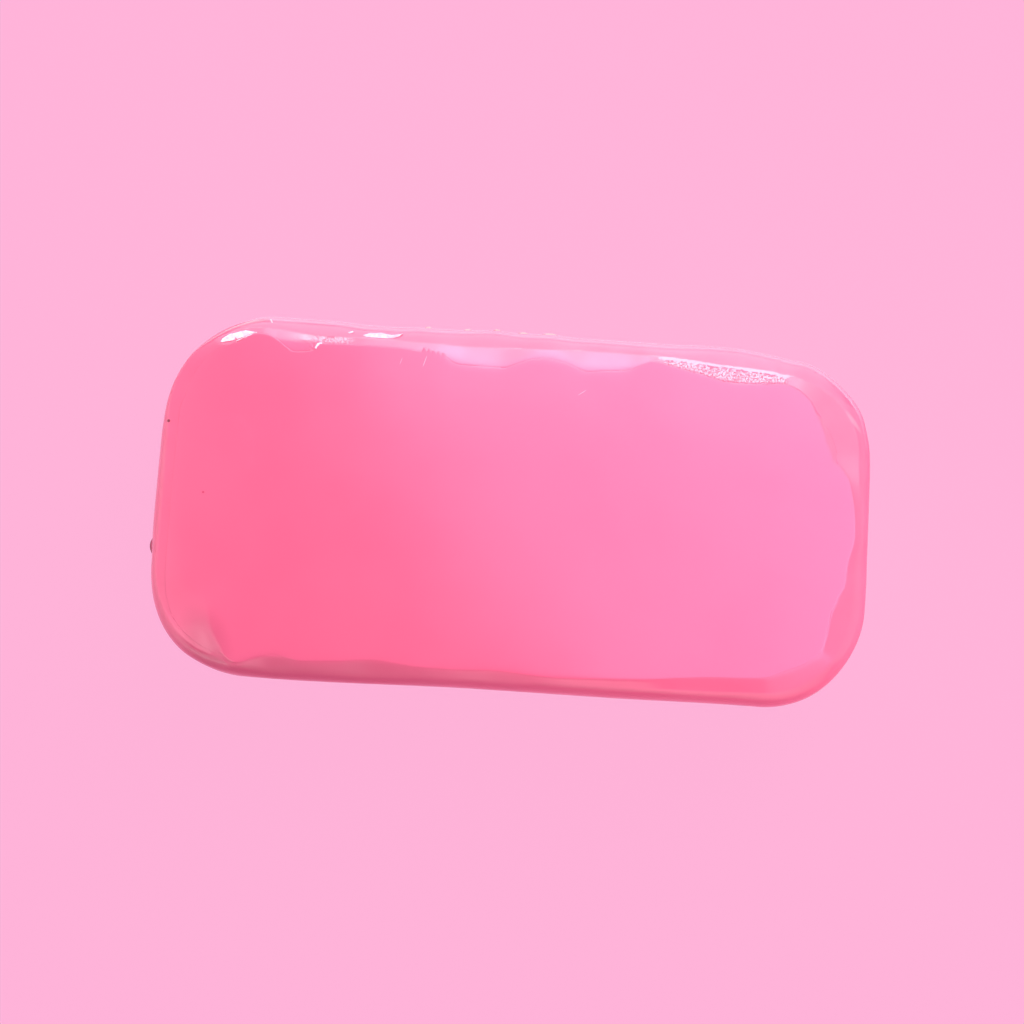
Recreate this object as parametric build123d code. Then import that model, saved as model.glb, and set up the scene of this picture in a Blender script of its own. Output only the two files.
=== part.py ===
"""Soap loaf mould: a thick-walled silicone mould filled to the brim, with the loaf cast in it.

The mould stands on the XY plane with its length along X and its mouth up, centred on the Z axis.
All dimensions are in millimetres.
"""
import os
from math import cos, radians, sin

from build123d import *

# Outside of the mould
length = 215.0            # over the widest line of the rim
width = 108.5
height = 58.0             # from the base to the soap's top face
corner_radius = 31.0      # of the outline, seen from above
outer_draft = 4.0         # degrees that the outside walls lean in towards the base
rim_round = 7.5           # rounding of the rim's outer edge
base_round = 8.0          # rounding of the base's outer edge

# Inside of the mould
rim_width = 13.0          # from the outline in to the cavity's mouth
cavity_radius = 23.0      # of the mouth's corners, so the walls are thickest at the corners
inner_draft = 3.0         # degrees that the cavity narrows downwards, so that the loaf comes out
floor_thickness = 7.0
floor_round = 6.0         # between the cavity's walls and its floor
mouth_round = 1.0         # edge of the cavity's mouth

# The loaf
shrinkage = 0.25          # gap that the soap leaves to the walls and floor as it sets
lip_thickness = 0.7       # film of soap that ran out over the rim
lip_reach = 5.0           # how far the film reaches past the cavity's mouth
lip_round = 0.5           # top edge of the film

rim_height = height - lip_thickness
cavity_length = length - 2 * rim_width
cavity_width = width - 2 * rim_width
cavity_depth = rim_height - floor_thickness


def tapered_block(top_length, top_width, top_radius, top_z, depth, draft):
    """A block with round corners and its larger face on top, narrowing downwards by draft degrees."""
    face = Plane.XY.offset(top_z) * RectangleRounded(top_length, top_width, top_radius)
    return extrude(face, amount=depth, dir=(0, 0, -1), taper=draft)


def edges_at(solid, z):
    """The edges of the solid that lie flat at height z."""
    return solid.edges().filter_by_position(Axis.Z, z - 0.01, z + 0.01)


def silicone_mould():
    """One casting: base, walls and a rim that rolls over on the outside and is flat on the inside."""
    # A rounding on a leaning wall pulls its widest line in, so the block starts that much larger.
    lean = radians(outer_draft)
    pull_in = rim_round * ((1 + sin(lean)) / cos(lean) - 1)
    outside = tapered_block(
        length + 2 * pull_in,
        width + 2 * pull_in,
        corner_radius + pull_in,
        rim_height,
        rim_height,
        outer_draft,
    )
    outside = fillet(edges_at(outside, rim_height), rim_round)
    outside = fillet(edges_at(outside, 0), base_round)

    cavity = tapered_block(
        cavity_length, cavity_width, cavity_radius, rim_height, cavity_depth, inner_draft
    )
    cavity = fillet(edges_at(cavity, floor_thickness), floor_round)
    mould = outside - cavity
    rim_face = mould.faces().sort_by(Axis.Z)[-1]
    return fillet(rim_face.inner_wires()[0].edges(), mouth_round)


def soap_loaf():
    """The set soap: a block the shape of the cavity, less its shrinkage, hung by a thin lip on the rim."""
    floor_z = floor_thickness + shrinkage
    block = tapered_block(
        cavity_length - 2 * shrinkage,
        cavity_width - 2 * shrinkage,
        cavity_radius - shrinkage,
        rim_height,
        rim_height - floor_z,
        inner_draft,
    )
    block = fillet(edges_at(block, floor_z), floor_round)
    lip_outline = RectangleRounded(
        cavity_length + 2 * lip_reach, cavity_width + 2 * lip_reach, cavity_radius + lip_reach
    )
    lip = extrude(Plane.XY.offset(rim_height) * lip_outline, amount=lip_thickness)
    lip = fillet(edges_at(lip, height), lip_round)
    return block + lip


def main():
    os.makedirs("parts", exist_ok=True)
    for node in (silicone_mould, soap_loaf):
        solid = node()
        solid.label = node.__name__
        export_step(solid, f"parts/{node.__name__}.step")


main()
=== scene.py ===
"""The looks of the soap loaf mould: a thick pink silicone mould, brim-full of glossy pink soap.

Shapes are worked out in millimetres, walking round the mould's outline, and turned to metres when a mesh is
made. A place on the outline is its walk: the distance in millimetres, clockwise seen from above, from the
middle of the rear side. An inset is the distance in from the true outline, square to it.

The top is one surface. From the widest line of the rim it rounds up to a shoulder, runs on as a sloping facet
to a crease, and is level from there in. The soap ends in a thin film at the crease, or a little way down the
facet, and the rest of the facet is the silicone rim.
"""

import math

import bmesh
import bpy
import numpy as np
from mathutils import Matrix, Vector

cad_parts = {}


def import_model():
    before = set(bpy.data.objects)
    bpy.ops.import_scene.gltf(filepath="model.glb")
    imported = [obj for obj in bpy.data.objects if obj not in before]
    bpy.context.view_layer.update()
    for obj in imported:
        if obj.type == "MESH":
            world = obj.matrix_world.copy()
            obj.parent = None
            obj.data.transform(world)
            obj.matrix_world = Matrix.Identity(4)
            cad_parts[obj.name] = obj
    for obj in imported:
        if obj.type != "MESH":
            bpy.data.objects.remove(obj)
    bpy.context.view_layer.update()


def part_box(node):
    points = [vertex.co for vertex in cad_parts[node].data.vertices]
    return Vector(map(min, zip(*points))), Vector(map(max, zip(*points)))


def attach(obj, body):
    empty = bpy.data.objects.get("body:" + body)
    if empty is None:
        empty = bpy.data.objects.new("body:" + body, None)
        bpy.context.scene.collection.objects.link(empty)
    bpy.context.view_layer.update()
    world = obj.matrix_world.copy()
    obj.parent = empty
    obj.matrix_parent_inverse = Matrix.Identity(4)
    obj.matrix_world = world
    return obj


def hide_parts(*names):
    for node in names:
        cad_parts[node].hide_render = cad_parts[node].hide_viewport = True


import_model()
MM = 0.001

# ---------------------------------------------------------------- driving sizes, in millimetres
mould_low, mould_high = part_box("silicone_mould")
loaf_low, loaf_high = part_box("soap_loaf")
LENGTH = (mould_high.x - mould_low.x) / MM
WIDTH = (mould_high.y - mould_low.y) / MM
HEIGHT = loaf_high.z / MM               # the soap's top face
RIM_HEIGHT = mould_high.z / MM
SHRINKAGE = 0.25                        # gap round the set loaf
FLOOR = loaf_low.z / MM - SHRINKAGE     # the cavity's floor
CORNER_RADIUS = 31.0
RIM_DROP = 8.2                          # from the soap's top face down to the rim's widest line
RIM_WIDTH = 13.0                        # from the outline in to the cavity's mouth
MOUTH_RADIUS = 23.0                     # of the mouth's corners
OUTER_DRAFT = math.radians(4.0)
INNER_DRAFT = math.radians(3.0)
BASE_ROUND = 8.0
FLOOR_ROUND = 6.0
WIDEST = HEIGHT - RIM_DROP

HALF_X = LENGTH / 2 - CORNER_RADIUS     # half of a long side's straight stretch
HALF_Y = WIDTH / 2 - CORNER_RADIUS
ARC = CORNER_RADIUS * math.pi / 2
WALK = 4 * (HALF_X + HALF_Y + ARC)


# ---------------------------------------------------------------- walking round the outline
def outline(walk, half_x=HALF_X, half_y=HALF_Y, radius=CORNER_RADIUS):
    """Points and outward normals of a rounded rectangle, at places on the mould's own outline.

    A smaller rectangle is walked in step: the same share of each side, the same angle of each corner.
    """
    walk = np.mod(np.asarray(walk, float) + HALF_X, WALK) - HALF_X
    point = np.zeros((len(walk), 2))
    normal = np.zeros((len(walk), 2))
    start = -HALF_X
    for nx, ny in ((0, 1), (1, 0), (0, -1), (-1, 0)):
        along = np.array([ny, -nx], float)
        out = np.array([nx, ny], float)
        own_half, half, across = (HALF_X, half_x, half_y) if ny else (HALF_Y, half_y, half_x)
        on = (walk >= start) & (walk <= start + 2 * own_half)
        share = (walk[on] - start) / own_half - 1
        point[on] = out * (across + radius) + along * (share * half)[:, None]
        normal[on] = out
        start += 2 * own_half
        on = (walk > start) & (walk < start + ARC)
        angle = (walk[on] - start) / ARC * math.pi / 2
        turned = np.cos(angle)[:, None] * out + np.sin(angle)[:, None] * along
        point[on] = out * across + along * half + radius * turned
        normal[on] = turned
        start += ARC
    return point, normal


def smooth_through(knots, walk):
    """A smooth closed curve through (walk, value) knots that never overshoots them."""
    knots = sorted(knots)
    x = np.array([k[0] for k in knots], float)
    y = np.array([k[1] for k in knots], float)
    x = np.concatenate([[x[-1] - WALK], x, [x[0] + WALK]])
    y = np.concatenate([[y[-1]], y, [y[0]]])
    rise = np.diff(y) / np.diff(x)
    slope = np.zeros(len(x))
    same = rise[:-1] * rise[1:] > 0
    mean = 2 * rise[:-1] * rise[1:] / np.where(same, rise[:-1] + rise[1:], 1)
    slope[1:-1] = np.where(same, mean, 0)
    walk = np.mod(np.asarray(walk, float) - x[0], WALK) + x[0]
    i = np.clip(np.searchsorted(x, walk, side="right") - 1, 0, len(x) - 2)
    gap = x[i + 1] - x[i]
    t = (walk - x[i]) / gap
    return (
        y[i] * (1 + 2 * t) * (1 - t) ** 2
        + slope[i] * gap * t * (1 - t) ** 2
        + y[i + 1] * t * t * (3 - 2 * t)
        + slope[i + 1] * gap * t * t * (t - 1)
    )


def hump(walk, centre, half_width):
    """1 at the centre, falling smoothly to 0 at half_width to each side."""
    away = np.abs(np.mod(walk - centre + WALK / 2, WALK) - WALK / 2) / half_width
    return np.where(away < 1, (1 - np.clip(away, 0, 1) ** 2) ** 2, 0)


# How far in the crease lies, where the level top begins. Walk, inset.
CREASE_REAR = [
    (-106, 7.4), (-98, 7.1), (-89, 7.9), (-80.5, 6.4), (-76.5, 6.8), (-73.5, 7.9), (-71, 9.8), (-68, 11.4),
    (-65.5, 11.3), (-61.9, 10.4), (-61.4, 8.7), (-57.5, 8.3), (-48.5, 8.2), (-36.5, 8.3), (-29.5, 9.1),
    (-22.7, 10.1), (-20, 11.8), (-16.5, 12.5), (-10, 12.8), (-6.4, 12.7), (-3.8, 11.9), (-0.5, 10.3),
    (4, 8.8), (6.5, 8.5), (10, 8.9), (13.7, 9.7), (17.5, 11.1), (20, 11.8), (23.5, 11.3), (32, 10.5),
    (35.4, 8.9), (39, 7.3), (44.5, 8.4), (53.5, 10.3), (64, 12.5), (72, 12.3), (77, 11.7),
]
CREASE_RIGHT = [
    (82, 11.5), (95.5, 13.0), (104, 14.6), (117, 14.8), (127.5, 13.0), (131, 9.5), (134.5, 7.6),
    (145, 5.7), (150.5, 5.5), (155, 6.5), (159, 7.5), (165.5, 7.8), (167.5, 9.5), (170.5, 10.5),
    (175, 11.8), (182, 11.5), (189.5, 10.1),
]
CREASE_FRONT = [
    (194, 9.6), (200.5, 10.1), (210, 10.4), (219, 9.1), (225, 8.6), (237, 8.0), (256, 6.1), (268, 5.4),
    (282.5, 5.0), (300, 5.9), (312, 5.4), (321, 5.5), (327, 6.0), (334, 6.7), (345, 5.7), (356, 5.1),
    (364, 6.3), (369, 5.3), (375, 3.4), (380.5, 5.4), (381.8, 6.8), (397, 13.4), (401, 13.7),
]
CREASE_LEFT = [(410, 12.0), (422, 9.0), (455, 8.0)]

# The film of soap ends at the crease. In the front left corner and along the left side it runs out past it,
# to these insets.
FILM_KNOTS = [
    (-98, 16), (372, 16), (379, 5.6), (386, 4.9), (400, 4.8), (408, 5.5), (420, 6.5), (458, 6.5), (468, 6.8),
]
# At the rear left the film has drawn back from a nearly level shelf, and the facet proper bends off here.
POCKET_KNOTS = [(-81, 30), (-76, 8.0), (-66, 8.3), (-61.5, 8.4), (-57, 8.4), (-54, 30)]
# How far in the rounding of the rim's outer edge reaches.
SHOULDER_KNOTS = [
    (-106, 3.6), (-96, 4.3), (-80, 4.6), (-62, 5.8), (-53, 6.3), (-37, 6.2), (-7, 6.1), (26, 5.2), (38, 5.6),
    (43, 5.4), (58, 6.3), (75, 7.7), (81, 9.0), (96, 8.0), (112, 6.0), (135, 5.0), (190, 5.5), (260, 3.8),
    (350, 3.6), (400, 4.0), (440, 4.0),
]
# The facet's slope, in degrees.
SLOPE_KNOTS = [
    (-110, 4), (-97, 9), (-84, 10), (-78, 10), (-64, 15.2), (-54, 15.2), (-46, 10), (0, 10), (37, 10),
    (43, 15.4), (79, 15.4), (85, 12), (115, 13), (190, 14), (215, 16), (245, 19), (265, 29), (300, 36),
    (372, 34), (382, 22), (397, 10), (408, 9), (425, 7), (440, 5), (462, 4),
]
# How gradually the facet begins at the crease.
SOFT_KNOTS = [
    (-112, 6), (-98, 2), (-92, 0.3), (-50, 0.3), (-28, 0.4), (-20, 2.4), (30, 2.4), (38, 0.3), (96, 0.3),
    (112, 0.6), (190, 0.4), (390, 0.8), (402, 4), (410, 6), (465, 6),
]
# How high the film's edge stands above the rim.
STEP_KNOTS = [
    (-110, 0.01), (-95, 0.06), (-75, 0.15), (-61.5, 0.15), (-50, 0.08), (-30, 0.08), (38, 0.08),
    (46, 0.05), (95, 0.02), (360, 0.015), (378, 0.015), (415, 0.01),
]
# How sharply, in degrees, the facet gives way to the rounding.
TURN_KNOTS = [(-105, 0.5), (-84, 8), (-70, 9), (85, 9), (108, 3), (190, 2), (260, 0.5), (460, 0.5)]
# How far the soft rim stands proud of its true outline: a hand-made mould is never quite true.
SWELL_REAR = [
    (-118, -2.0), (-111, -2.3), (-98, -1.8), (-85, -0.8),           # the rear left corner is pinched in
    (-75, 0.3), (-57, 0.2), (-48, -0.4), (-39, -0.5), (-31, -0.1), (-20, -0.1), (-9, 0.5), (0, 0.1), (8, 0.3),
    (16, -0.2), (45, -0.3), (55, 0.0), (64, -0.2),
]
SWELL_RIGHT = [
    (75, -1.5), (81, -2.3), (88, -1.6), (98, -1.5), (112, -0.8),    # and so is the rear right one
    (117, -1.0), (132, -0.5), (148, -0.5), (165, -0.3), (189, -0.9), (206, -0.5),
]
SWELL_FRONT = [(230, -0.7), (265, -0.4), (303, -0.5), (360, 0.4), (370, 0.3), (386, -0.1), (393, 0.1)]
SWELL_LEFT = [(420, -1.2), (436, -0.6), (460, -0.8)]
# Nicks of flash left standing on the parting line: walk of the middle, half length.
FLASH_NICKS = [(-29, 1.5), (-17, 1.6), (-8, 1.5), (0, 2.2), (8, 3.2)]
NICK_STANDS = 0.55
CRUMB = 427.8                   # walk of a crumb of dark soap stuck to the left side
CRUMB_STANDS = 1.0
GLINT_CORNER = -98               # walk of the rear left corner, where the rim's edge is painted cream as a highlight
TORN_FROM, TORN_TEETH, TORN_PITCH = -29.3, 5, 1.45      # where the film's edge is torn into small teeth
CUT_FROM, CUT_TO = 41, 82       # the long clean cut along the facet at the rear right
SPARKLE = -58                   # walk of a short sparkling patch at the rear left


def torn_teeth(walk):
    """Small pointed tears that bite outwards past the crease."""
    depth = 0
    for tooth in range(TORN_TEETH):
        depth = depth + (1.7 - 0.15 * tooth) * hump(walk, TORN_FROM + TORN_PITCH * tooth, 0.85)
    return depth


def walk_steps():
    """Places on the outline: closer together along the rear side, where the soap's edge is torn."""
    fine, plain = 0.3, 0.8
    places = []
    at = -HALF_X - ARC
    end = at + WALK
    while at < end - 0.5 * fine:
        places.append(at)
        at += fine if at < HALF_X + 0.5 * ARC else plain
    return np.array(places)


WALKS = walk_steps()
OUTER, NORMAL = outline(WALKS)
MOUTH, MOUTH_NORMAL = outline(
    WALKS, LENGTH / 2 - RIM_WIDTH - MOUTH_RADIUS, WIDTH / 2 - RIM_WIDTH - MOUTH_RADIUS, MOUTH_RADIUS
)
MOUTH_INSET = np.sum((OUTER - MOUTH) * NORMAL, axis=1)
CREASE_KNOTS = CREASE_REAR + CREASE_RIGHT + CREASE_FRONT + CREASE_LEFT
CREASE = smooth_through(CREASE_KNOTS, WALKS) - torn_teeth(WALKS)
# The rim's own crease is smoother than the soap's, because the small tears are in the film alone.
RIM_CREASE = np.mean([smooth_through(CREASE_KNOTS, WALKS + away) for away in np.linspace(-3, 3, 9)], axis=0)
FILM = np.minimum(np.minimum(CREASE, MOUTH_INSET - 0.8), smooth_through(FILM_KNOTS, WALKS))
SHOULDER = np.minimum(smooth_through(SHOULDER_KNOTS, WALKS), 0.72 * RIM_CREASE)
SLOPE = np.tan(np.radians(smooth_through(SLOPE_KNOTS, WALKS)))
TURN = np.tan(np.radians(smooth_through(TURN_KNOTS, WALKS)))
SOFT = smooth_through(SOFT_KNOTS, WALKS)
STEP = smooth_through(STEP_KNOTS, WALKS)
POCKET = smooth_through(POCKET_KNOTS, WALKS)
SWELL = smooth_through(SWELL_REAR + SWELL_RIGHT + SWELL_FRONT + SWELL_LEFT, WALKS)
EDGE = OUTER - NORMAL * FILM[:, None]            # the film's edge
# The line along the middle that the level face is filled in to.
SPINE = np.clip(MOUTH, [-(LENGTH - WIDTH) / 2, 0], [(LENGTH - WIDTH) / 2, 0])


def fall(inset, crease=RIM_CREASE):
    """How far the surface has fallen from the level of the top, at an inset from the outline."""
    bend = np.minimum(crease, POCKET)
    out = bend - inset
    shelf = np.clip(crease - np.maximum(inset, bend), 0, None)
    return SLOPE * 0.5 * (out + np.sqrt(out * out + SOFT * SOFT)) + 0.04 * shelf


# ---------------------------------------------------------------- mesh helpers
def ring(points, z):
    """A closed ring of 3-D points from 2-D ones and a height, or heights."""
    return np.column_stack([points, np.broadcast_to(z, len(points))])


def closed_shell(name, rings, marks):
    """A closed mesh through rings of equal length, each end filled flat, with named values at its points."""
    count = len(rings[0])
    vertices = np.concatenate(rings) * MM
    faces = []
    here = np.arange(count)
    after = np.roll(here, -1)
    for level in range(len(rings) - 1):
        low, high = level * count, (level + 1) * count
        faces.append(np.column_stack([low + here, low + after, high + after, high + here]))
    faces = [tuple(f) for f in np.concatenate(faces).tolist()]
    last = (len(rings) - 1) * count
    faces.append(tuple(range(count))[::-1])
    faces.append(tuple(range(last, last + count)))
    mesh = bpy.data.meshes.new(name)
    mesh.from_pydata(vertices.tolist(), [], faces)
    mesh.validate()
    mesh.polygons.foreach_set("use_smooth", [True] * len(mesh.polygons))
    for mark, values in marks.items():
        layer = mesh.attributes.new(mark, "FLOAT", "POINT")
        layer.data.foreach_set("value", np.concatenate(values))
    mesh.update()
    piece = bpy.data.objects.new(name, mesh)
    bpy.context.scene.collection.objects.link(piece)
    return piece


# ---------------------------------------------------------------- the silicone mould
def parting_flash():
    """The fine ridge along the rim's widest line, with a few longer nicks left on the rear side."""
    ridge = 0.02 + 0.015 * np.sin(WALKS * 0.9) * np.sin(WALKS * 0.23)
    for place, half_length in FLASH_NICKS:
        ridge = ridge + NICK_STANDS * np.sqrt(hump(WALKS, place, half_length))
    return ridge


def outer_wall():
    """From the flat of the base up to just under the widest line."""
    rings = []
    outer = OUTER + NORMAL * SWELL[:, None]
    tangent = BASE_ROUND * math.cos(OUTER_DRAFT)
    lift = BASE_ROUND * (1 - math.sin(OUTER_DRAFT))
    foot = (WIDEST - lift) * math.tan(OUTER_DRAFT)      # how far the wall leans in at the base
    for inward, rise in arc_steps(BASE_ROUND, OUTER_DRAFT, 9):
        rings.append((outer - NORMAL * (foot + tangent - inward), rise))
    for t in np.linspace(0, 1, 12)[1:-1]:
        rings.append((outer - NORMAL * (foot * (1 - t)), lift + t * (WIDEST - lift)))
    return rings


def rounding(count=18):
    """From the widest line up and in to the shoulder, square to both."""
    rings = []
    low = WIDEST
    high = HEIGHT - STEP - fall(SHOULDER)
    rate = SLOPE + TURN
    reach = 0.5 * (SHOULDER + SWELL)
    lean = 1 / np.sqrt(1 + rate * rate)
    for t in np.linspace(0, 1, count):
        b0, b1, b2, b3 = (1 - t) ** 3, 3 * t * (1 - t) ** 2, 3 * t * t * (1 - t), t**3
        inset = (b0 + b1) * -SWELL + b2 * (SHOULDER - reach * lean) + b3 * SHOULDER
        up = low + b1 * 0.55 * (high - low) + b2 * (high - low - reach * lean * rate) + b3 * (high - low)
        rings.append((inset, up))
    return rings


def facet(count=14):
    """From the shoulder in to the film's edge."""
    rings = []
    for t in np.linspace(0, 1, count)[1:]:
        inset = SHOULDER * (1 - t) + FILM * t
        rings.append((inset, HEIGHT - STEP - fall(inset)))
    return rings


def arc_steps(radius, draft, count):
    """Inset and rise of a rounding that turns a flat floor up into a wall that leans out by the draft."""
    angles = np.linspace(0, math.pi / 2 - draft, count)
    return [(radius * math.sin(a), radius * (1 - math.cos(a))) for a in angles]


def cavity_inset(z, gap=0.0):
    """How far in from the mouth the cavity's wall is at a height."""
    return (RIM_HEIGHT - z) * math.tan(INNER_DRAFT) + gap


def silicone_mould():
    """One casting, as rings from the flat of the base, up the wall, over the rim and down into the cavity.

    Its points also carry where it is pale with a painted highlight, dimpled, wet or stained, for the
    material.
    """
    rings, marks = [], {"pale": [], "dimple": [], "wet": [], "stain": []}

    def add(points, z, **values):
        rings.append(ring(points, z))
        for mark, layers in marks.items():
            layers.append(np.broadcast_to(values.get(mark, 0.0), len(WALKS)))

    for outer, z in outer_wall():
        add(outer, z)
    flash = parting_flash()
    nicks = np.clip((flash - 0.3) * 5, 0, 1)
    crumb = hump(WALKS, CRUMB, 2.7)
    corner_glint = hump(WALKS, GLINT_CORNER, 16)
    # The ridge of flash: its foot on the wall, then its flat edge, from below the widest line to above it.
    for stands, rise in ((0.0, -0.45), (1.0, -0.15), (1.0, 0.15)):
        reach = SWELL + (flash + CRUMB_STANDS * np.sqrt(crumb)) * stands
        # Painted highlight: the nicks of flash and the rim's edge at the rear left corner are painted cream.
        painted_glint = np.maximum(nicks, corner_glint) * (1.0 if rise > 0 else 0.3 * stands)
        add(OUTER + NORMAL * reach[:, None], WIDEST + rise, pale=painted_glint, stain=np.clip(crumb * 4, 0, 1))
    for inset, z in rounding()[1:]:
        # The painted highlight runs a little way up the rounding at the rear left corner.
        painted_glint = 0.5 * corner_glint * np.clip(1 - (inset + SWELL) / 0.8, 0, 1)
        add(OUTER - NORMAL * inset[:, None], z, pale=painted_glint)
    for inset, z in facet():
        add(OUTER - NORMAL * inset[:, None], z, dimple=grain(inset), wet=wet_face())
    # Under the film the rim goes straight down to the flat at the cavity's mouth, but where the film has run
    # out past the crease, the facet first carries on a little way under it.
    edge_height = HEIGHT - STEP - fall(FILM)
    tuck = 0.1
    share = tuck / (MOUTH_INSET - FILM)
    straight_down = edge_height * (1 - share) + RIM_HEIGHT * share
    carried_on = HEIGHT - STEP - fall(FILM + tuck) - 0.01
    tucked_height = np.where(FILM < CREASE - 0.5, carried_on, straight_down)
    add(OUTER - NORMAL * (FILM + tuck)[:, None], tucked_height)
    for t in (0.3, 0.7, 0.93):
        height = edge_height * (1 - t) + RIM_HEIGHT * t
        add(EDGE * (1 - t) + MOUTH * t, height)
    for z in np.linspace(RIM_HEIGHT - 0.8, FLOOR + FLOOR_ROUND, 9):
        add(MOUTH - MOUTH_NORMAL * cavity_inset(z), z)
    for inward, rise in arc_steps(FLOOR_ROUND, INNER_DRAFT, 7)[::-1][1:]:
        lean = cavity_inset(FLOOR + FLOOR_ROUND) + FLOOR_ROUND * math.cos(INNER_DRAFT) - inward
        add(MOUTH - MOUTH_NORMAL * lean, FLOOR + rise)
    piece = closed_shell("mould_body", rings, marks)
    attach(piece, "mould")
    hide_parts("silicone_mould")
    return piece


def wet_face():
    """Where the facet is shiny: the long cut, and a short sparkling patch at the rear left."""
    return np.maximum(cut_face(), np.clip(3 * hump(WALKS, SPARKLE - 1, 9), 0, 1))


def cut_face():
    """Where the facet is cut clean and shiny: the long cut at the rear right."""
    return np.clip((WALKS - CUT_FROM) / 3, 0, 1) * np.clip((CUT_TO - WALKS) / 2, 0, 1)


def grain(inset):
    """How dimpled the facet is: all of the long cut but a smooth line along its top, and a short patch."""
    below_top = np.clip((inset - SHOULDER - 1.2) / 0.3, 0, 1)
    return np.maximum(0.45 * cut_face() * below_top, 0.3 * hump(WALKS, SPARKLE + 1, 9))


# ---------------------------------------------------------------- the loaf of soap
def soap_loaf():
    """The cast body, the film that runs out over the rim, and the level face, as rings from below."""
    rings = []
    underside = FLOOR + SHRINKAGE
    for inward, rise in arc_steps(FLOOR_ROUND, INNER_DRAFT, 7):
        lean = cavity_inset(underside + FLOOR_ROUND, SHRINKAGE) + FLOOR_ROUND * math.cos(INNER_DRAFT) - inward
        rings.append(ring(MOUTH - MOUTH_NORMAL * lean, underside + rise))
    for z in np.linspace(underside + FLOOR_ROUND, RIM_HEIGHT, 9)[1:]:
        rings.append(ring(MOUTH - MOUTH_NORMAL * cavity_inset(z, SHRINKAGE), z))

    # The film's underside, a hair clear of the rim, and its rounded edge.
    film_bottom = HEIGHT - STEP - fall(FILM)
    clear = 0.03
    lift = np.minimum(clear, 0.4 * STEP)
    for t in (0.07, 0.35, 0.7, 0.98):
        under = RIM_HEIGHT * (1 - t) + film_bottom * t + clear * (1 - t) + lift * t
        rings.append(ring(MOUTH * (1 - t) + EDGE * t, under))
    edge_round = ((0.0, 0.5), (0.08, 0.18), (0.2, 0.04), (0.4, 0.0))
    for inward, below in edge_round:
        level = HEIGHT - fall(FILM + inward, CREASE)
        rings.append(ring(EDGE - NORMAL * inward, level * (1 - below) + (film_bottom + lift) * below))

    # Over the crease, and on to the level face, which is filled in to the spine.
    for step, share in enumerate((0.2, 0.4, 0.6, 0.8, 0.94, 1.0, 1.06)):
        inset = FILM + 0.55 + 0.15 * step + (CREASE - FILM) * share
        rings.append(ring(OUTER - NORMAL * inset[:, None], HEIGHT - fall(inset, CREASE)))
    inner = OUTER - NORMAL * inset[:, None]
    for t in (0.03, 0.07, 0.12, 0.18, 0.27, 0.4, 0.6, 0.8, 0.95):
        level = HEIGHT - fall(inset, CREASE) * (1 - min(t / 0.27, 1)) ** 2
        rings.append(ring(inner * (1 - t) + SPINE * t, level))
    piece = closed_shell("loaf_body", rings, {})
    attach(piece, "loaf")
    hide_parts("soap_loaf")
    return piece


# ---------------------------------------------------------------- flakes of dried soap on the rim
# Walk and inset of each flake's corners, in order round it.
FLAKES = {
    "corner": [
        (-94.4, 5.8), (-93.3, 5.1), (-90.3, 4.7), (-87.5, 5.0), (-84.5, 5.0), (-83.2, 5.5), (-81.0, 6.0),
        (-84.2, 6.7), (-87.1, 7.0), (-88.3, 7.1), (-88.7, 6.3), (-89.5, 7.0), (-91.3, 6.8), (-94.2, 6.1),
    ],
    "rear": [
        (-48.1, 5.0), (-46.0, 4.2), (-42.5, 3.8), (-40.9, 4.2), (-39.4, 4.3), (-36.1, 3.6), (-37.0, 4.5),
        (-39.0, 5.4), (-44.1, 5.5), (-47.1, 5.4),
    ],
    "speck": [(-52.7, 4.3), (-51.3, 3.7), (-50.9, 4.1), (-52.1, 4.6)],
    "crease": [(-88.9, 7.45), (-84.8, 6.85), (-80.5, 5.95), (-80.4, 6.2), (-84.6, 7.1), (-88.7, 7.8)],
    "hook": [(-62.0, 9.9), (-61.3, 8.4), (-60.0, 8.0), (-59.9, 8.5), (-60.9, 9.0), (-61.6, 10.3)],
}


def rim_height(walk, inset):
    """The height of the mould's top surface at one place."""
    nearest = int(np.argmin(np.abs(WALKS - walk)))
    profile = rounding() + facet()
    return float(np.interp(inset, [p[0][nearest] for p in profile], [p[1][nearest] for p in profile]))


def soap_flakes(tilt=15.4, lift=0.05, root=0.5):
    """Thin chips of soap that dried on the rim, each flat on top and rooted in the silicone."""
    shape = bpy.data.meshes.new("soap_flakes")
    vertices, faces = [], []
    for corners in FLAKES.values():
        walks = np.array([c[0] for c in corners])
        insets = np.array([c[1] for c in corners])
        places, normals = outline(walks)
        points = places - normals * insets[:, None]
        out = normals.mean(axis=0)
        out /= np.linalg.norm(out)
        middle = points.mean(axis=0)
        fall_off = math.tan(math.radians(tilt)) * ((points - middle) @ out)
        under = np.array([rim_height(w, i) for w, i in corners])
        level = (under + fall_off).max() + lift
        first, count = len(vertices), len(corners)
        vertices += [(x * MM, y * MM, (level - f) * MM) for (x, y), f in zip(points, fall_off)]
        vertices += [(x * MM, y * MM, (u - root) * MM) for (x, y), u in zip(points, under)]
        faces.append(tuple(range(first, first + count))[::-1])
        faces.append(tuple(range(first + count, first + 2 * count)))
        for i in range(count):
            j = (i + 1) % count
            faces.append((first + i, first + j, first + count + j, first + count + i))
    shape.from_pydata(vertices, [], faces)
    shape.validate()
    work = bmesh.new()
    work.from_mesh(shape)
    bmesh.ops.recalc_face_normals(work, faces=work.faces)
    work.to_mesh(shape)
    work.free()
    piece = bpy.data.objects.new("soap_flakes", shape)
    bpy.context.scene.collection.objects.link(piece)
    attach(piece, "mould")
    return piece


# ---------------------------------------------------------------- material helpers
def new_material(name):
    material = bpy.data.materials.new(name)
    material.use_nodes = True
    return material, material.node_tree, material.node_tree.nodes["Principled BSDF"]


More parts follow.
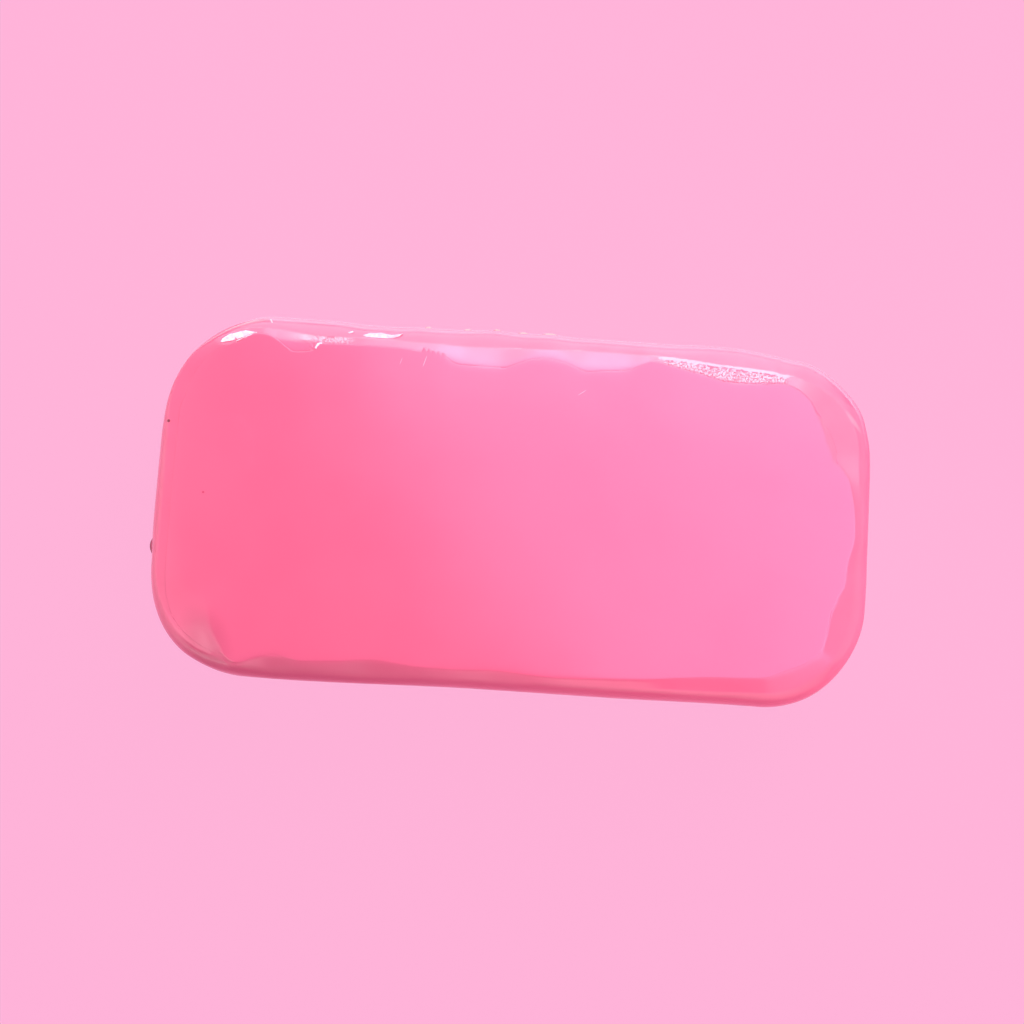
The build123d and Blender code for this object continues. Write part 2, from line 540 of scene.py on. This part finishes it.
def node(tree, kind, *inputs, **settings):
    """Adds a node, sets its settings, and fills its inputs in order with links or plain values."""
    made = tree.nodes.new(kind)
    for key, value in settings.items():
        setattr(made, key, value)
    for socket, value in zip(made.inputs, inputs):
        if value is None:
            continue
        if isinstance(value, bpy.types.NodeSocket):
            tree.links.new(value, socket)
        else:
            socket.default_value = value
    return made


def maths(tree, operation, *inputs):
    return node(tree, "ShaderNodeMath", *inputs, operation=operation).outputs[0]


def marked(tree, name):
    """The values that a mesh carries at its points under a name."""
    return node(tree, "ShaderNodeAttribute", attribute_name=name).outputs["Fac"]


def relief(tree, shader, height, depth):
    """Gives a surface fine relief: a height from 0 to 1, and its depth in millimetres."""
    bump = node(tree, "ShaderNodeBump")
    tree.links.new(height, bump.inputs["Height"])
    bump.inputs["Strength"].default_value = 1.0
    bump.inputs["Distance"].default_value = depth * MM
    tree.links.new(bump.outputs[0], shader.inputs["Normal"])


def millimetres(tree):
    """Places on the object, in millimetres."""
    place = node(tree, "ShaderNodeTexCoord").outputs["Object"]
    return node(tree, "ShaderNodeVectorMath", place, (1 / MM,) * 3, operation="MULTIPLY").outputs[0]


def speckle(tree, place, size, detail=2.0, rough=0.5):
    """Soft noise from 0 to 1, with lumps of about the given size in millimetres."""
    grains = node(tree, "ShaderNodeTexNoise")
    tree.links.new(place, grains.inputs["Vector"])
    grains.inputs["Scale"].default_value = 1 / size
    grains.inputs["Detail"].default_value = detail
    grains.inputs["Roughness"].default_value = rough
    return grains.outputs["Fac"]


def between(tree, value, low, high, to_low, to_high):
    """Carries a range of values smoothly on to another, and holds it at both ends."""
    ends = (low, high, to_low, to_high)
    return node(tree, "ShaderNodeMapRange", value, *ends, interpolation_type="SMOOTHSTEP").outputs[0]


def mixed(tree, share, first, second):
    """A colour between two, by a share from 0 to 1."""
    mix = node(tree, "ShaderNodeMix", data_type="RGBA")
    tree.links.new(share, mix.inputs["Factor"])
    for socket, value in ((mix.inputs["A"], first), (mix.inputs["B"], second)):
        if isinstance(value, bpy.types.NodeSocket):
            tree.links.new(value, socket)
        else:
            socket.default_value = value
    return mix.outputs["Result"]


def local(tree, place, centre, size, angle=0.0):
    """Distance from a place, in units of an ellipse's own half axes."""
    shift = node(tree, "ShaderNodeMapping", vector_type="TEXTURE")
    tree.links.new(place, shift.inputs["Vector"])
    shift.inputs["Location"].default_value = (*centre, HEIGHT)
    shift.inputs["Rotation"].default_value = (0, 0, math.radians(angle))
    shift.inputs["Scale"].default_value = (*size, 40.0)
    return node(tree, "ShaderNodeVectorMath", shift.outputs[0], operation="LENGTH").outputs["Value"]


def spots(tree, place, marks):
    """1 inside small elliptical marks, each a centre, half axes and a turn, and 0 elsewhere."""
    total = None
    for centre, size, angle in marks:
        inside = between(tree, local(tree, place, centre, size, angle), 0.6, 1.0, 1.0, 0.0)
        total = inside if total is None else maths(tree, "MAXIMUM", total, inside)
    return total


PINK = (0.95, 0.137, 0.284, 1)
DEEP_PINK = (0.93, 0.118, 0.262, 1)
# The colour of the painted shade at the front left corner.
PAINTED_SHADE_PINK = (0.78, 0.10, 0.22, 1)
SPECK_RED = (0.75, 0.03, 0.12, 1)
SCRATCH_PINK = (1.0, 0.45, 0.6, 1)
# The colour of painted highlights on the rounding.
PAINTED_HIGHLIGHT_PINK = (1.0, 0.55, 0.66, 1)
MILKY_PINK = (0.98, 0.26, 0.42, 1)
PALE_MILK = (1.0, 0.40, 0.56, 1)
# The colour of the painted highlights on the rim's edge.
PAINTED_GLINT_CREAM = (1.0, 0.66, 0.56, 1)
DARK_SOAP = (0.30, 0.02, 0.05, 1)
REFRACTION = 1.45               # of silicone and of soap


# Marks on the top, each a centre, half axes and a turn in degrees.
SPECKS = [((-91.6, -1.2), (0.45, 0.4), 0), ((98.4, -26.8), (1.0, 0.35), 20)]
SCRATCHES = [
    ((-28.9, 42.4), (0.14, 2.1), -16), ((18.6, 36.0), (1.8, 0.10), 36), ((-36.0, 42.0), (0.08, 1.3), -18),
]
DARK_SPECK = [((-103.7, 19.5), (0.55, 0.55), 0)]
# A small painted glint on the rounding at the rear left.
GLINT_TICK = [((-75.9, 52.1), (0.28, 0.95), 32)]


def painted_shade_corner(tree, place, body):
    """A colour with a soft darker patch at the front left: painted shade."""
    patch = between(tree, local(tree, place, (-87.5, -45.0), (9.0, 14.0), 24), 0.25, 1.0, 0.8, 0.0)
    return mixed(tree, patch, body, PAINTED_SHADE_PINK)


def silicone():
    """Glossy pink rubber: satin from handling, wet where it is cut clean, with its marks and stains, painted
    highlights on the rim and painted shade at the front left.
    """
    material, tree, shader = new_material("silicone")
    place = millimetres(tree)
    cloud = speckle(tree, place, 26, 3.0)
    body = mixed(tree, between(tree, cloud, 0.35, 0.65, 0.0, 0.5), PINK, DEEP_PINK)
    # Painted shade at the front left corner, then the painted highlights along the rim's edge.
    body = mixed(tree, marked(tree, "pale"), painted_shade_corner(tree, place, body), PAINTED_GLINT_CREAM)
    # Painted highlights: a pale streak on the rear right corner and a small glint at the rear left.
    highlight_streak = between(tree, local(tree, place, (100.3, 33.1), (1.0, 5.2), 38), 0.2, 1.0, 0.22, 0.0)
    painted_highlights = maths(tree, "MAXIMUM", highlight_streak, maths(tree, "MULTIPLY", spots(tree, place, GLINT_TICK), 0.75))
    body = mixed(tree, painted_highlights, body, PAINTED_HIGHLIGHT_PINK)
    dark_marks = maths(tree, "MAXIMUM", marked(tree, "stain"), spots(tree, place, DARK_SPECK))
    body = mixed(tree, dark_marks, body, DARK_SOAP)
    tree.links.new(body, shader.inputs["Base Color"])
    handled = speckle(tree, place, 9, 4.0, 0.6)
    satin = between(tree, handled, 0.3, 0.7, 0.12, 0.18)
    wet = marked(tree, "wet")
    tree.links.new(between(tree, wet, 0.0, 1.0, satin, 0.06), shader.inputs["Roughness"])
    shader.inputs["IOR"].default_value = REFRACTION

    pits = between(tree, speckle(tree, place, 0.8, 1.5), 0.44, 0.56, 0.0, 1.0)
    pitted = maths(tree, "MULTIPLY", pits, marked(tree, "dimple"))
    skin = maths(tree, "MULTIPLY", speckle(tree, place, 1.6, 2.0), 0.004)
    relief(tree, shader, maths(tree, "ADD", pitted, skin), 0.3)
    return material


def soap():
    """Glossy pink soap, with a few specks and scratches, and painted shade at its front left corner."""
    material, tree, shader = new_material("soap")
    place = millimetres(tree)
    cloud = speckle(tree, place, 40, 2.0)
    body = mixed(tree, between(tree, cloud, 0.35, 0.65, 0.0, 0.4), PINK, DEEP_PINK)
    specks = spots(tree, place, SPECKS)
    scratched = spots(tree, place, SCRATCHES)
    body = mixed(tree, maths(tree, "MULTIPLY", specks, 0.7), body, SPECK_RED)
    body = mixed(tree, maths(tree, "MULTIPLY", scratched, 0.55), body, SCRATCH_PINK)
    # Painted shade at the front left corner.
    tree.links.new(painted_shade_corner(tree, place, body), shader.inputs["Base Color"])

    # A finger's touch: a faint oval rim, broken up, that dulls the gloss.
    touch = local(tree, place, (-84.0, 13.5), (6.2, 9.0), 12)
    inner = between(tree, touch, 0.6, 0.95, 0, 1)
    outer = between(tree, touch, 0.95, 1.25, 1, 0)
    rim = maths(tree, "MULTIPLY", inner, outer)
    rim = maths(tree, "MULTIPLY", rim, between(tree, speckle(tree, place, 2.2), 0.4, 0.6, 0.2, 1))
    dull = maths(tree, "MAXIMUM", maths(tree, "MULTIPLY", rim, 0.5), scratched)
    uneven = between(tree, speckle(tree, place, 14, 4.0, 0.6), 0.3, 0.7, 0.11, 0.15)
    tree.links.new(between(tree, dull, 0, 1, uneven, 0.3), shader.inputs["Roughness"])
    shader.inputs["IOR"].default_value = REFRACTION

    # The poured face is level but never quite optically flat.
    ripple = speckle(tree, place, 22, 1.0)
    skin = maths(tree, "MULTIPLY", speckle(tree, place, 1.3, 2.0), 0.012)
    relief(tree, shader, maths(tree, "ADD", ripple, skin), 0.12)
    return material


def dried_soap():
    """Milky and glossy, a little uneven."""
    material, tree, shader = new_material("dried_soap")
    place = millimetres(tree)
    milk = between(tree, speckle(tree, place, 1.6, 2.0), 0.35, 0.65, 0.0, 1.0)
    tree.links.new(mixed(tree, milk, MILKY_PINK, PALE_MILK), shader.inputs["Base Color"])
    shader.inputs["Roughness"].default_value = 0.08
    shader.inputs["IOR"].default_value = REFRACTION
    relief(tree, shader, speckle(tree, place, 1.1, 1.0), 0.02)
    return material


# ---------------------------------------------------------------- stage, lights and camera
PALE_PINK = (1.0, 0.451, 0.694)


def floor():
    """A plain pale floor that glows a little, so that it stays even and takes only a faint shadow."""
    mesh = bpy.data.meshes.new("floor")
    side = 4.0
    corners = [(-side, -side, 0), (side, -side, 0), (side, side, 0), (-side, side, 0)]
    mesh.from_pydata(corners, [], [(0, 1, 2, 3)])
    plane = bpy.data.objects.new("floor", mesh)
    bpy.context.scene.collection.objects.link(plane)
    material, _, shader = new_material("pale_floor")
    glow = 0.98
    shader.inputs["Base Color"].default_value = (*[c * (1 - glow) * 0.95 for c in PALE_PINK], 1)
    shader.inputs["Roughness"].default_value = 1.0
    shader.inputs["Specular IOR Level"].default_value = 0.0
    shader.inputs["Emission Color"].default_value = (*PALE_PINK, 1)
    shader.inputs["Emission Strength"].default_value = glow
    mesh.materials.append(material)


def area_light(name, size, radiance, colour, place, aim, turn=0.0, diffuse=True, glossy=True):
    """A rectangular light of a given brightness, whatever its size: radiance in the scene's units."""
    data = bpy.data.lights.new(name, "AREA")
    data.shape = "RECTANGLE"
    data.size, data.size_y = size
    data.energy = radiance * math.pi * size[0] * size[1]
    data.color = colour
    lamp = bpy.data.objects.new(name, data)
    bpy.context.scene.collection.objects.link(lamp)
    lamp.location = place
    direction = Vector(aim) - Vector(place)
    lamp.rotation_euler = (
        direction.to_track_quat("-Z", "Y").to_matrix() @ Matrix.Rotation(turn, 3, "Z")
    ).to_euler()
    lamp.visible_camera = False
    lamp.visible_diffuse = diffuse
    lamp.visible_glossy = glossy
    return lamp


def mirrored(*what):
    """An area light that shows only as a reflection."""
    return area_light(*what, diffuse=False)


def shade_across(lamp, axis, stops):
    """Varies a light's brightness from one side to the other: (place from 0 to 1, share of the whole)."""
    lamp.data.use_nodes = True
    tree = lamp.data.node_tree
    place = node(tree, "ShaderNodeNewGeometry").outputs["Parametric"]
    along = node(tree, "ShaderNodeSeparateXYZ", place).outputs[axis]
    ramp = node(tree, "ShaderNodeValToRGB", along)
    ramp.color_ramp.interpolation = "EASE"
    marks = ramp.color_ramp.elements
    for at, _ in stops[2:]:
        marks.new(at)
    for mark, (at, share) in zip(marks, stops):
        mark.position = at
        mark.color = (share, share, share, 1)
    tree.links.new(ramp.outputs["Color"], tree.nodes["Emission"].inputs["Strength"])


def world():
    """Even, almost white light from all round, behind a backdrop of the floor's own pink."""
    space = bpy.data.worlds.new("world")
    space.use_nodes = True
    nodes, links = space.node_tree.nodes, space.node_tree.links
    seen, unseen = nodes["Background"], nodes.new("ShaderNodeBackground")
    seen.inputs["Color"].default_value = (*PALE_PINK, 1)
    unseen.inputs["Color"].default_value = (1.0, 0.93, 0.95, 1)
    unseen.inputs["Strength"].default_value = 0.38
    path, mix = nodes.new("ShaderNodeLightPath"), nodes.new("ShaderNodeMixShader")
    links.new(path.outputs["Is Camera Ray"], mix.inputs["Fac"])
    links.new(unseen.outputs[0], mix.inputs[1])
    links.new(seen.outputs[0], mix.inputs[2])
    links.new(mix.outputs[0], nodes["World Output"].inputs["Surface"])
    bpy.context.scene.world = space


def spot_light(name, power, place, aim, half_angle, blend, radius):
    """A soft-edged cone of light, for what it adds to the dull side of a surface and not to its gloss."""
    data = bpy.data.lights.new(name, "SPOT")
    data.energy = power
    data.spot_size = 2 * math.radians(half_angle)
    data.spot_blend = blend
    data.shadow_soft_size = radius
    lamp = bpy.data.objects.new(name, data)
    bpy.context.scene.collection.objects.link(lamp)
    lamp.location = place
    lamp.rotation_euler = (Vector(aim) - Vector(place)).to_track_quat("-Z", "Y").to_euler()
    lamp.visible_camera = False
    lamp.visible_glossy = False


# Short bright strips, each for one bright stretch of the rim: middle, length, radiance.
STRIPS = [
    ("left_strip", -0.44, 0.22, 14.0), ("sparkle_strip", -0.205, 0.115, 13.0),
    ("middle_strip", -0.125, 0.045, 11.0), ("right_strip", 0.205, 0.20, 12.5),
]
TOP = HEIGHT * MM
CENTRE = (0, 0, TOP)
WHITE = (1.0, 1.0, 1.0)


def lights():
    world()
    lamps_for_the_colour()
    cards_above()
    cards_at_the_ends()
    cards_in_front()
    cards_behind()
    bpy.context.scene.view_settings.view_transform = "Standard"


def lamps_for_the_colour():
    """Lights that the surfaces scatter and don't mirror."""
    area_light("key", (0.7, 0.7), 6.3, WHITE, (0.25, 0.55, TOP + 0.7), CENTRE, glossy=False)
    area_light("left_fill", (0.5, 0.4), 2.2, WHITE, (-0.8, 0, TOP + 0.2), CENTRE, glossy=False)
    spot_light("side_light", 4.0, (0.45, -0.30, TOP + 0.20), (0.095, -0.02, TOP), 13, 0.7, 0.03)


def cards_above():
    """What the level face mirrors: a bright card over its right half, and faint veils at its sides."""
    card = mirrored(
        "overhead_card", (0.36, 0.80), 3.75, (0.8, 0.93, 1.68), (0.142, 0.022, TOP + 0.6), (0.142, 0.022, 0),
        math.radians(37.6)
    )
    shade_across(card, "X", [(0, 0), (0.33, 0.62), (0.9, 1), (1, 0.8)])
    card = mirrored(
        "rear_veil", (0.5, 0.28), 1.1, (0.9, 0.95, 1.05), (0.16, 0.245, TOP + 0.55), (0.16, 0.245, 0)
    )
    shade_across(card, "Y", [(0, 0), (0.16, 1)])
    card = mirrored(
        "left_veil", (0.58, 0.86), 2.6, (0.95, 1, 1.04), (-0.45, -0.01, TOP + 0.58), (-0.45, -0.01, 0)
    )
    shade_across(card, "X", [(0, 1), (0.45, 1), (0.75, 0.42), (0.9, 0.13), (1, 0)])
    card = mirrored("right_veil", (0.44, 1.1), 3.2, (1, 0.95, 1.05), (0.5, 0, TOP + 0.62), (0.5, 0, 0))
    shade_across(card, "Y", [(0, 0.33), (0.6, 0.33), (0.78, 1), (1, 1)])


def cards_at_the_ends():
    """A card beyond each end, and one on the floor below it for the rounding of the rim."""
    mirrored("left_card", (1.8, 0.65), 1.9, (0.95, 1, 1.05), (-0.78, -0.3, TOP + 0.27), (0, -0.3, TOP + 0.27))
    card = mirrored("left_bounce", (0.5, 1.1), 1.3, (1, 0.9, 0.9), (-0.38, -0.05, 0.004), (-0.38, -0.05, 1))
    shade_across(card, "X", [(0, 0.1), (0.12, 0.4), (0.4, 1), (1, 1)])
    mirrored("right_card", (1.1, 0.8), 1.6, (1, 0.95, 1), (0.85, 0.1, TOP + 0.35), CENTRE)
    card = mirrored("right_bounce", (0.4, 0.6), 1.0, (1, 0.9, 0.9), (0.34, 0, 0.004), (0.34, 0, 1))
    shade_across(card, "X", [(0, 1), (0.5, 0.8), (0.9, 0.1), (1, 0)])


def cards_in_front():
    """Dim cards that leave the front of the rim dark, most of all left of the middle."""
    card = mirrored("front_card", (2.0, 0.6), 1.9, WHITE, (0.2, -0.9, TOP + 0.52), CENTRE)
    shade_across(
        card, "X", [(0, 0.9), (0.14, 0.5), (0.25, 0.28), (0.34, 0.34), (0.44, 1), (0.7, 1), (1, 0.4)]
    )
    mirrored("corner_card", (0.4, 0.4), 1.5, (1, 0.95, 0.95), (-0.40, -0.42, TOP + 0.62), CENTRE)
    card = mirrored("front_low", (2.0, 0.3), 1.1, WHITE, (0.2, -0.95, TOP + 0.12), (0.2, 0, TOP + 0.12))
    shade_across(card, "X", [(0, 0.8), (0.25, 0.4), (0.36, 0.5), (0.45, 1), (1, 0.9)])


def cards_behind():
    """The bright window side: cards and a wall for the rear facet and rounding, and the strips over them."""
    card = mirrored("rear_card", (0.52, 0.40), 8.1, (0.82, 0.86, 1.04), (0.08, 0.4975, TOP + 0.872), CENTRE)
    shade_across(card, "Y", [(0, 1), (0.42, 1), (0.52, 0.6), (0.61, 0.38), (0.71, 0.17), (0.83, 0)])
    card = mirrored("rear_card_right", (0.18, 0.3), 6.5, (0.85, 0.9, 1.02), (0.43, 0.53, TOP + 0.81), CENTRE)
    shade_across(card, "X", [(0, 0), (1, 1)])
    mirrored("rear_card_end", (0.26, 0.25), 4.5, (0.84, 0.86, 1.0), (-0.31, 0.56, TOP + 0.83), CENTRE)
    card = mirrored("rear_wall", (1.7, 0.87), 7.0, (0.92, 0.95, 1.08), (0.35, 0.82, 0.40), (0.35, 0, 0.08))
    shade_across(
        card, "X", [(0, 0), (0.35, 0.62), (0.53, 0.72), (0.6, 0.88), (0.66, 0.88), (0.7, 0.72), (1, 0.68)]
    )
    card = mirrored("rear_bounce", (0.44, 0.66), 4.2, (1, 0.92, 1), (0.12, 0.39, 0.004), (0.12, 0.39, 1))
    shade_across(card, "Y", [(0, 0.06), (0.04, 0.2), (0.1, 0.5), (0.18, 1), (0.4, 0.8), (1, 0.6)])
    card = mirrored("corner_bounce", (0.24, 0.3), 2.6, (1, 0.92, 0.8), (-0.22, 0.25, 0.007), (-0.22, 0.25, 1))
    shade_across(card, "X", [(0, 1), (0.5, 0.7), (1, 0.3)])
    for name, middle, length, radiance in STRIPS:
        mirrored(name, (length, 0.10), radiance, (1, 0.94, 1.0), (middle, 0.70, TOP + 0.713), CENTRE)


def camera():
    """Almost straight above, a little towards the front, and rolled so that the mould runs downhill."""
    tilt, roll = math.radians(6.65), math.radians(3.72)
    lengths_away = 2.4
    share_of_picture = 0.69814      # how much of the picture's width the mould's length takes up
    distance = lengths_away * LENGTH * MM
    target = Vector((0, -0.0002, WIDEST * MM))
    data = bpy.data.cameras.new("camera")
    data.sensor_width = 36
    data.lens = data.sensor_width * lengths_away * share_of_picture
    lens = bpy.data.objects.new("camera", data)
    bpy.context.scene.collection.objects.link(lens)
    back = Vector((0, -math.sin(tilt), math.cos(tilt)))
    right = Vector((math.cos(roll), 0, 0)) + math.sin(roll) * Vector((0, math.cos(tilt), math.sin(tilt)))
    up = back.cross(right)
    turn = Matrix((right, up, back)).transposed().to_4x4()
    lens.matrix_world = Matrix.Translation(target + distance * back) @ turn
    bpy.context.scene.camera = lens


mould = silicone_mould()
loaf = soap_loaf()
flakes = soap_flakes()
mould.data.materials.append(silicone())
loaf.data.materials.append(soap())
flakes.data.materials.append(dried_soap())
floor()
lights()
camera()
